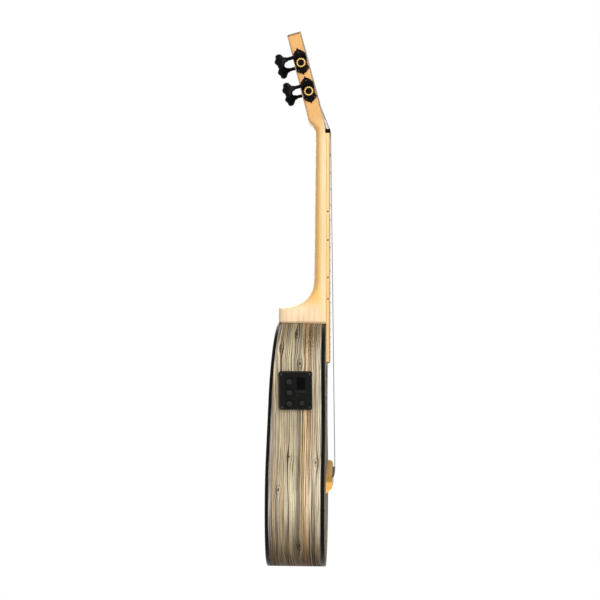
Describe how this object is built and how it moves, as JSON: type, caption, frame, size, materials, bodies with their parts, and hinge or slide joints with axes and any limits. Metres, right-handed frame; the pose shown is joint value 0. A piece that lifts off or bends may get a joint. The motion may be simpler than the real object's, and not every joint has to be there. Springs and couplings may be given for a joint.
{
  "type": "tenor ukulele",
  "caption": "Four-stringed ukulele with a striped laminate body, arched back, slotted head with open worm tuners, tie bridge, and a preamp panel in the bass side.",
  "frame": {"origin": "on the centre line, on the plane of the soundboard's front, at the nut's edge that faces the strings", "axes": "+Z along the neck to the head, -Y out of the soundboard's front, -X to the bass side with the preamp"},
  "size_m": [0.23, 0.0844, 0.6779],
  "materials": {
    "laminate": "thin sheets of grey, beige, tan and brown wood glued together and cut across, satin lacquer",
    "neck_wood": "honey-coloured straight-grained wood, satin lacquer",
    "board_wood": "pale oiled wood",
    "bridge_wood": "orange-brown oiled wood",
    "inner_wood": "unfinished pale wood",
    "binding": "gloss black",
    "black_bone": "polished black",
    "string_nylon": "smooth, slightly clear",
    "black_metal": "satin black plating",
    "gear_brass": "cut brass",
    "black_plastic": "satin black",
    "display_glass": "dark gloss window",
    "jack_metal": "nickel plate"
  },
  "bodies": {
    "instrument": {"soundboard": "laminate", "rosette": "binding", "back_plate": "laminate", "side_bass": "laminate", "side_treble": "laminate", "top_binding": "binding", "back_binding": "binding", "top_lining_bass": "inner_wood", "top_lining_treble": "inner_wood", "back_lining_bass": "inner_wood", "back_lining_treble": "inner_wood", "neck_block": "inner_wood", "tail_block": "inner_wood", "bridge_plate": "inner_wood", "upper_cross_brace": "inner_wood", "lower_cross_brace": "inner_wood", "fan_brace_bass": "inner_wood", "fan_brace_centre": "inner_wood", "fan_brace_treble": "inner_wood", "back_brace_1": "inner_wood", "back_brace_2": "inner_wood", "back_brace_3": "inner_wood", "neck": "neck_wood", "head_veneer": "laminate", "fretboard": "board_wood", "nut": "black_bone", "bridge": "bridge_wood", "saddle": "black_bone", "saddle_pickup": "black_metal", "string_1": "string_nylon", "string_2": "string_nylon", "string_3": "string_nylon", "string_4": "string_nylon", "tuner_plate_1": "black_metal", "tuner_plate_2": "black_metal", "tuner_plate_3": "black_metal", "tuner_plate_4": "black_metal", "preamp_panel": "black_plastic", "tuner_display": "display_glass", "output_jack": "jack_metal"},
    "worm_1": {"worm_shaft_1": "black_metal", "tuner_button_1": "black_plastic"},
    "worm_2": {"worm_shaft_2": "black_metal", "tuner_button_2": "black_plastic"},
    "worm_3": {"worm_shaft_3": "black_metal", "tuner_button_3": "black_plastic"},
    "worm_4": {"worm_shaft_4": "black_metal", "tuner_button_4": "black_plastic"},
    "roller_1": {"gear_1": "gear_brass", "string_roller_1": "black_metal"},
    "roller_2": {"gear_2": "gear_brass", "string_roller_2": "black_metal"},
    "roller_3": {"gear_3": "gear_brass", "string_roller_3": "black_metal"},
    "roller_4": {"gear_4": "gear_brass", "string_roller_4": "black_metal"},
    "volume": {"volume_knob": "black_plastic"},
    "bass": {"bass_knob": "black_plastic"},
    "treble": {"treble_knob": "black_plastic"},
    "tuner_push": {"tuner_switch": "black_plastic"}
  },
  "joints": [
    {"name": "worm_1_spin", "type": "hinge", "parent": "instrument", "child": "worm_1", "pos_m": [-0.02908, 0.0239, 0.05908], "axis": [0, 0.9659, -0.2588], "continuous": true},
    {"name": "worm_2_spin", "type": "hinge", "parent": "instrument", "child": "worm_2", "pos_m": [-0.02908, 0.03353, 0.09501], "axis": [0, 0.9659, -0.2588], "continuous": true},
    {"name": "worm_3_spin", "type": "hinge", "parent": "instrument", "child": "worm_3", "pos_m": [0.02908, 0.03353, 0.09501], "axis": [0, 0.9659, -0.2588], "continuous": true},
    {"name": "worm_4_spin", "type": "hinge", "parent": "instrument", "child": "worm_4", "pos_m": [0.02908, 0.0239, 0.05908], "axis": [0, 0.9659, -0.2588], "continuous": true},
    {"name": "roller_1_spin", "type": "hinge", "parent": "instrument", "child": "roller_1", "pos_m": [-0.0135, 0.0216, 0.05048], "axis": [1, 0, 0], "continuous": true},
    {"name": "roller_2_spin", "type": "hinge", "parent": "instrument", "child": "roller_2", "pos_m": [-0.0135, 0.03122, 0.08642], "axis": [1, 0, 0], "continuous": true},
    {"name": "roller_3_spin", "type": "hinge", "parent": "instrument", "child": "roller_3", "pos_m": [0.0135, 0.03122, 0.08642], "axis": [1, 0, 0], "continuous": true},
    {"name": "roller_4_spin", "type": "hinge", "parent": "instrument", "child": "roller_4", "pos_m": [0.0135, 0.0216, 0.05048], "axis": [1, 0, 0], "continuous": true},
    {"name": "volume_turn", "type": "hinge", "parent": "instrument", "child": "volume", "pos_m": [-0.08472, 0.04285, -0.30949], "axis": [-0.9669, 0, -0.2553], "range_deg": [-140, 140]},
    {"name": "bass_turn", "type": "hinge", "parent": "instrument", "child": "bass", "pos_m": [-0.08125, 0.04285, -0.32264], "axis": [-0.9669, 0, -0.2553], "range_deg": [-140, 140]},
    {"name": "treble_turn", "type": "hinge", "parent": "instrument", "child": "treble", "pos_m": [-0.07765, 0.04285, -0.33627], "axis": [-0.9669, 0, -0.2553], "range_deg": [-140, 140]},
    {"name": "tuner_switch_press", "type": "slide", "parent": "instrument", "child": "tuner_push", "axis": [0.9669, 0, 0.2553], "range_m": [0, 0.0008], "stiffness_N_per_m": 300}
  ],
  "couplings": [
    {"joint": "roller_1_spin", "follows": "worm_1_spin", "ratio": 0.071429},
    {"joint": "roller_2_spin", "follows": "worm_2_spin", "ratio": 0.071429},
    {"joint": "roller_3_spin", "follows": "worm_3_spin", "ratio": 0.071429},
    {"joint": "roller_4_spin", "follows": "worm_4_spin", "ratio": 0.071429}
  ]
}
